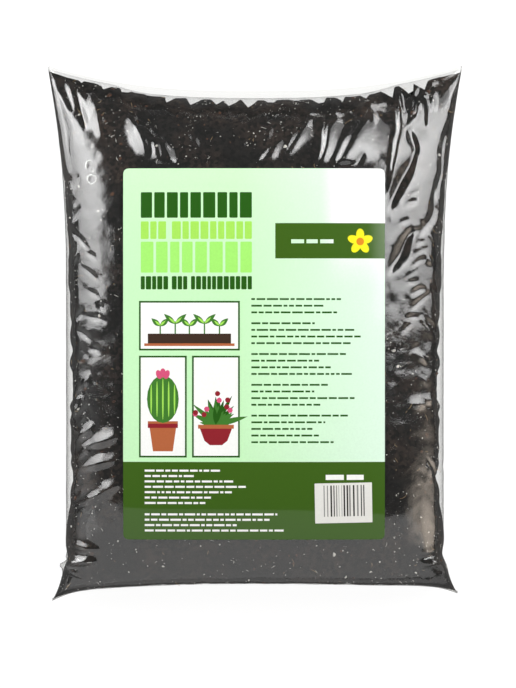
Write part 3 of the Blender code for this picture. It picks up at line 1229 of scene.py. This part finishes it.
def make_sheets():
    """The label and its sticker, with an ink for each colour of the print."""
    inks = {
        ink: laminated_print(name, *colours)
        for ink, name, *colours in (
            # The mint print also carries a painted reflection in the label's upper
            # right corner
            ("mint", "mint_print_and_painted_reflection", "#c9f6c2", "#e0fae6"),
            ("forest", "forest_green_print", "#3a5f0c"),
            ("deep_green", "deep_green_print", "#1f5804"),
            ("lime", "lime_print", "#a5e35a"),
            ("light_lime", "light_lime_print", "#a4ee70"),
            ("white_ink", "white_print", "#fbfbf8"),
            ("yellow_ink", "yellow_print", "#f4ec1c"),
            ("orange_ink", "orange_print", "#e08a1e"),
            ("earth_ink", "earth_brown_print", "#3d2a1e"),
            ("terracotta_ink", "terracotta_print", "#b5643c"),
            ("leaf_ink", "leaf_green_print", "#3f7a2a"),
            ("red_ink", "red_print", "#8f1d28"),
            ("pink_ink", "pink_print", "#d8527a"),
            ("sticker_white", "sticker_white_print", "#ebeae5"),
            ("bar_black", "bar_black_print", "#2e2e2c"),
            ("bar_grey", "bar_grey_print", "#8b8b88"),
        )
    }
    bag = smooth_front()
    fields = label_fields()
    label = printed_sheet(
        "label_sheet", fields, 0.0, (0, 0), bag, 0.25 * MM, 0.15 * MM, inks
    )
    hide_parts("label")
    fields = sticker_fields()
    turn, centre = STICKER_TURN, STICKER_CENTRE
    sticker = printed_sheet(
        "bar_sticker", fields, turn, centre, bag, 0.4 * MM, 0.12 * MM, inks
    )
    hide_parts("barcode_sticker")


def melted_film_edge():
    """Film edge melted round an air hole: thicker, so it looks milky."""
    made, tree, place = new_material("melted_film_edge")
    cloud = add(tree, "ShaderNodeTexNoise", {"Vector": place, "Scale": 700.0})
    share = add(
        tree, "ShaderNodeMapRange", {"Value": cloud, "To Min": 0.8, "To Max": 1.0}
    )
    through = add(tree, "ShaderNodeBsdfTransparent")
    milky = add(
        tree,
        "ShaderNodeBsdfPrincipled",
        {"Base Color": linear("#fcfdfa"), "Roughness": 0.2, "Coat Weight": 1.0},
    )
    shader = add(tree, "ShaderNodeMixShader", {0: share, 1: through, 2: milky})
    finish_material(tree, shader)
    return made


def make_vent_rims(material, surface):
    """Rolled edges of the two air holes: the lower one is thick all round, the upper
    one only on its left."""
    around, across = 40, 8
    for n, ((x, y), thin) in enumerate(zip(VENTS, (0.6, 0.15))):
        centre = LABEL_PLACE + Vector((x, y, 0.2))
        points = []
        for i in range(around):
            a = 2 * math.pi * i / around
            radial = Vector((math.cos(a), math.sin(a), 0))
            wide = VENT_RADIUS * (1.02 + 0.07 * math.sin(3 * a + 2 * n))
            place, out, _, _ = surface.ray_cast(
                centre + radial * wide, Vector((0, 0, -1))
            )
            radial = (radial - out * radial.dot(out)).normalized()
            thick = mix(thin, 1, smoothstep(-0.2, 0.8, math.cos(a - math.radians(145))))
            wall = 0.45 * MM * thick * (1 + 0.25 * math.sin(5 * a + n))
            for k in range(across):
                b = 2 * math.pi * k / across
                roll = out * math.sin(b) + radial * math.cos(b)
                points.append(place + out * 0.2 * MM + roll * wall)
        faces = []
        for i in range(around):
            j = (i + 1) % around
            for k in range(across):
                m = (k + 1) % across
                faces.append(
                    (i * across + k, j * across + k, j * across + m, i * across + m)
                )
        rim = mesh_object(
            f"vent_rim_{n + 1}", [tuple(p) for p in points], faces, place=False
        )
        rim.data.materials.append(material)
        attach(rim, "root")


# Studio. The lamps' names, middles, half widths and half heights as vectors, and
# brightness
LAMPS = (
    # Softboxes left and right of the bag's upper half
    ("left_softbox", (-0.66, 0.61, 0.52), (0, -0.60, 0), (0.12, 0, 0.30), 5.8),
    ("right_softbox", (0.475, 0.61, 0.680), (0, 0.60, 0), (-0.315, 0, 0.460), 4.9),
    # Light from above the right one, which no gloss mirrors
    ("matt_fill", (0.236, 0.61, 1.03), (0, 0.60, 0), (-0.076, 0, 0.11), 3.4),
    ("far_left_softbox", (-0.8, 0.95, 0.3), (-0.2, -0.3, 0), (0.05, 0, 0.22), 2.6),
    ("far_right_softbox", (0.8, 0.95, 0.3), (-0.2, 0.3, 0), (-0.05, 0, 0.22), 2.6),
    # Paler cards and the bright table lie on the side of the bag's foot
    ("foot_card", (0.11, -0.67, 0.5), (1.0, -0.15, 0.1), (-0.05, 0.29, 0.44), 0.6),
    ("low_left_softbox", (-0.8, 0.35, 0.12), (0, -0.25, 0), (0.02, 0, 0.1), 3.4),
    # Sheets of light on the table, mirrored where the film is steep near the top
    ("left_table_glow", (-0.42, 0.32, 0.004), (-0.22, 0, 0), (0, 0.22, 0), 2.6),
    ("right_table_glow", (0.30, 0.45, 0.004), (-0.2, 0, 0), (0, 0.25, 0), 2.6),
    ("table_glow", (0, -0.75, 0.004), (-1.1, 0, 0), (0, 0.55, 0), 0.3),
    ("left_card", (-0.75, -0.42, 0.4), (0, -0.4, 0), (0.06, 0, 0.3), 0.75),
    ("right_card", (0.734, -0.42, 0.48), (0, 0.4, 0), (-0.076, 0, 0.38), 2.5),
)
# Lamps with a hot middle: its place, its reach, the share left there, and between
# which heights the face goes dark
HOT_SPOTS = {
    "left_softbox": ((0.57, 0.66), (0.72, 1.1), 0.25, 0.70),
    "right_softbox": ((0.28, 0.55), (0.45, 1.2), 0.2, 0.62, 0.76),
    "left_card": ((0.35, 0.45), (0.5, 0.7), 0.1),
    "right_card": ((0.62, 0.30), (0.42, 0.75), 0.0),
}


def hot_spot(light, place, reach, share, fade=1.0, gone=1.001):
    """Makes a lamp's face brightest at place (0 to 1 across and up) and lets it fall
    smoothly to a share of that at reach, across and up; from the height fade on, it
    goes out, and it is dark at the height gone."""
    light.use_nodes = True
    tree = light.node_tree
    face = add(tree, "ShaderNodeNewGeometry").outputs["Parametric"]
    away = add(
        tree, "ShaderNodeVectorMath", {0: face, 1: (*place, 0.0)}, operation="SUBTRACT"
    )
    scale = (1 / reach[0], 1 / reach[1], 0.0)
    away = add(
        tree, "ShaderNodeVectorMath", {0: away, 1: scale}, operation="MULTIPLY"
    )
    away = add(tree, "ShaderNodeVectorMath", {0: away}, operation="LENGTH")
    strength = add(
        tree,
        "ShaderNodeMapRange",
        {"Value": away.outputs["Value"], "To Min": 1.0, "To Max": share},
        interpolation_type="SMOOTHSTEP",
    )
    upper = add(
        tree,
        "ShaderNodeMapRange",
        {
            "Value": add(tree, "ShaderNodeSeparateXYZ", {"Vector": face}).outputs["Y"],
            "From Min": fade,
            "From Max": gone,
            "To Min": 1.0,
            "To Max": 0.0,
        },
        interpolation_type="SMOOTHSTEP",
    )
    level = add(tree, "ShaderNodeMath", {0: strength, 1: upper}, operation="MULTIPLY")
    tree.links.new(level.outputs[0], tree.nodes["Emission"].inputs["Strength"])


def softbox(name, centre, right, up, radiance):
    """Flat lamp spanned by two half-side vectors; it shines along up x right."""
    light = bpy.data.lights.new(name, "AREA")
    light.shape = "RECTANGLE"
    right, up = Vector(right), Vector(up)
    light.size, light.size_y = 2 * right.length, 2 * up.length
    light.energy = radiance * math.pi * light.size * light.size_y
    made = bpy.data.objects.new(name, light)
    x, y = right.normalized(), up.normalized()
    z = x.cross(y)
    turn = Matrix((x, y, z)).transposed().to_4x4()
    made.matrix_world = Matrix.Translation(centre) @ turn
    made.visible_camera = False
    bpy.context.scene.collection.objects.link(made)
    return made


def make_studio():
    """White floor, a little light from all sides, and the lamps."""
    floor = mesh_object(
        "studio_floor",
        [(-6, -6, -0.0004), (6, -6, -0.0004), (6, 6, -0.0004), (-6, 6, -0.0004)],
        [(0, 1, 2, 3)],
        smooth=False,
    )
    floor.data.materials.append(white_floor())
    world = bpy.data.worlds.new("studio_air")
    world.use_nodes = True
    world.node_tree.nodes["Background"].inputs[0].default_value = (1, 1, 1, 1)
    world.node_tree.nodes["Background"].inputs[1].default_value = 0.06
    bpy.context.scene.world = world
    lamps = {lamp[0]: softbox(*lamp) for lamp in LAMPS}
    for name, spot in HOT_SPOTS.items():
        hot_spot(lamps[name].data, *spot)
    lamps["matt_fill"].visible_glossy = False
    lamps["right_card"].data.color = linear("#fff0df")[:3]


def make_camera():
    """Looks straight down from so far that the picture's rows cover their height on
    the label."""
    camera = bpy.data.cameras.new("overhead")
    camera.sensor_width = 36
    camera.lens = 300
    made = bpy.data.objects.new("overhead", camera)
    distance = camera.lens / camera.sensor_width * PICTURE_ROWS * PIXEL
    label_top = 55 * MM
    right, up = PICTURE_MIDDLE
    made.location = LABEL_PLACE + Vector(
        (right * PIXEL, up * PIXEL, label_top + distance)
    )
    camera.clip_start, camera.clip_end = 0.1, 20
    bpy.context.scene.collection.objects.link(made)
    bpy.context.scene.camera = made


def main():
    scene = bpy.context.scene
    scene.view_settings.view_transform = "Standard"
    surface = make_film()
    points, normals = make_compost(moist_peat())
    make_specks(points, normals)
    make_sheets()
    make_vent_rims(melted_film_edge(), surface)
    make_studio()
    make_camera()


main()
